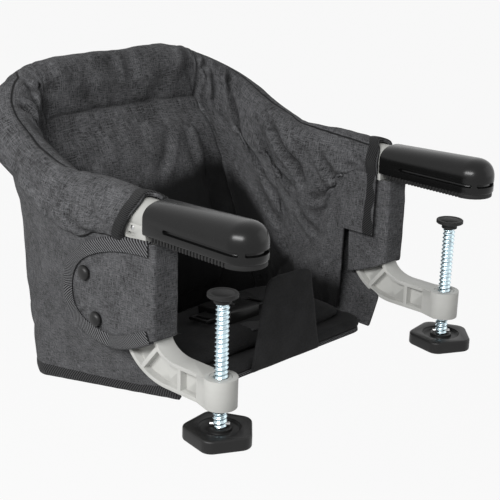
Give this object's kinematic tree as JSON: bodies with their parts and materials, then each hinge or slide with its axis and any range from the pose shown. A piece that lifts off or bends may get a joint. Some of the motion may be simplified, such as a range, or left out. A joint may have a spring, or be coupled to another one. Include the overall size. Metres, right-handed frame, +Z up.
{
  "type": "table-edge hook-on child seat",
  "caption": "Fabric child seat on a bent tube frame that hangs from a table edge by two arms with folding screw clamps.",
  "frame": {"origin": "on the table's top edge line, midway between the two arms", "axes": "+X to the child's left, +Y from the table towards the seat's back, +Z up"},
  "size_m": [0.3717, 0.386, 0.2769],
  "materials": {
    "tube_steel": "satin steel",
    "zinc_steel": "bluish zinc plating",
    "grey_nylon": "light grey moulded nylon, satin",
    "grip_plastic": "black satin moulded plastic",
    "black_plastic": "black satin moulded plastic",
    "black_rubber": "matt black rubber",
    "heather_fabric": "charcoal heather weave, padded",
    "black_binding": "black twill binding tape",
    "black_fabric": "black woven cover",
    "black_webbing": "black webbing"
  },
  "bodies": {
    "chair": {"frame_tube": "tube_steel", "back_roll": "heather_fabric", "seat_shell": "heather_fabric", "base_board": "black_fabric", "base_hem": "black_binding", "seat_pad": "black_fabric", "back_cushion": "heather_fabric", "crotch_panel": "black_fabric", "crotch_strap": "black_webbing", "buckle_body": "black_plastic", "tube_plug_right": "black_plastic", "tube_plug_left": "black_plastic", "grip_right": "grip_plastic", "grip_left": "grip_plastic", "grip_pad_right": "black_rubber", "grip_pad_left": "black_rubber", "hub_right": "grey_nylon", "hub_left": "grey_nylon", "hub_screw_right": "tube_steel", "hub_screw_left": "tube_steel", "fold_pin_right": "tube_steel", "fold_pin_left": "tube_steel", "arm_sleeve_right": "heather_fabric", "arm_sleeve_left": "heather_fabric", "sleeve_binding_right": "black_binding", "sleeve_binding_left": "black_binding", "side_lining_right": "heather_fabric", "side_lining_left": "heather_fabric", "side_flap_right": "heather_fabric", "side_flap_left": "heather_fabric", "flap_binding_right": "black_binding", "flap_binding_left": "black_binding", "upper_snap_right": "black_plastic", "upper_snap_left": "black_plastic", "lower_snap_right": "black_plastic", "lower_snap_left": "black_plastic", "waist_strap_right": "black_webbing", "waist_strap_left": "black_webbing", "buckle_tongue_right": "black_plastic", "buckle_tongue_left": "black_plastic"},
    "buckle_release": {"buckle_button": "black_plastic"},
    "lock_right": {"lock_button_right": "grey_nylon"},
    "lock_left": {"lock_button_left": "grey_nylon"},
    "arm_right": {"clamp_arm_right": "grey_nylon", "thread_insert_right": "grey_nylon"},
    "arm_left": {"clamp_arm_left": "grey_nylon", "thread_insert_left": "grey_nylon"},
    "screw_right": {"clamp_screw_right": "zinc_steel", "knob_right": "black_plastic", "knob_pin_right": "tube_steel"},
    "screw_left": {"clamp_screw_left": "zinc_steel", "knob_left": "black_plastic", "knob_pin_left": "tube_steel"},
    "pad_right": {"swivel_pad_right": "black_rubber"},
    "pad_left": {"swivel_pad_left": "black_rubber"}
  },
  "joints": [
    {"name": "fold_right", "type": "hinge", "parent": "chair", "child": "arm_right", "pos_m": [-0.156, 0.026, -0.014], "axis": [0, -1, 0], "range_deg": [0, 90], "deforming": ["side_flap_right"]},
    {"name": "pad_slide_right", "type": "slide", "parent": "arm_right", "child": "pad_right", "axis": [0, 0, 1], "range_m": [-0.0091, 0.0111]},
    {"name": "screw_turn_right", "type": "hinge", "parent": "pad_right", "child": "screw_right", "pos_m": [-0.156, -0.064, -0.09], "axis": [0, 0, 1], "range_deg": [-810, 990]},
    {"name": "lock_press_right", "type": "slide", "parent": "chair", "child": "lock_right", "axis": [1, 0, 0], "range_m": [0, 0.0015], "stiffness_N_per_m": 500},
    {"name": "fold_left", "type": "hinge", "parent": "chair", "child": "arm_left", "pos_m": [0.156, 0.026, -0.014], "axis": [0, 1, 0], "range_deg": [0, 90], "deforming": ["side_flap_left"]},
    {"name": "pad_slide_left", "type": "slide", "parent": "arm_left", "child": "pad_left", "axis": [0, 0, 1], "range_m": [-0.0091, 0.0111]},
    {"name": "screw_turn_left", "type": "hinge", "parent": "pad_left", "child": "screw_left", "pos_m": [0.156, -0.064, -0.09], "axis": [0, 0, 1], "range_deg": [-810, 990]},
    {"name": "lock_press_left", "type": "slide", "parent": "chair", "child": "lock_left", "axis": [-1, 0, 0], "range_m": [0, 0.0015], "stiffness_N_per_m": 500},
    {"name": "buckle_press", "type": "slide", "parent": "chair", "child": "buckle_release", "axis": [0, -0.0993, -0.9951], "range_m": [0, 0.0015], "stiffness_N_per_m": 500}
  ],
  "couplings": [
    {"joint": "pad_slide_right", "follows": "screw_turn_right", "m_per_rad": 0.00063662},
    {"joint": "pad_slide_left", "follows": "screw_turn_left", "m_per_rad": 0.00063662}
  ]
}
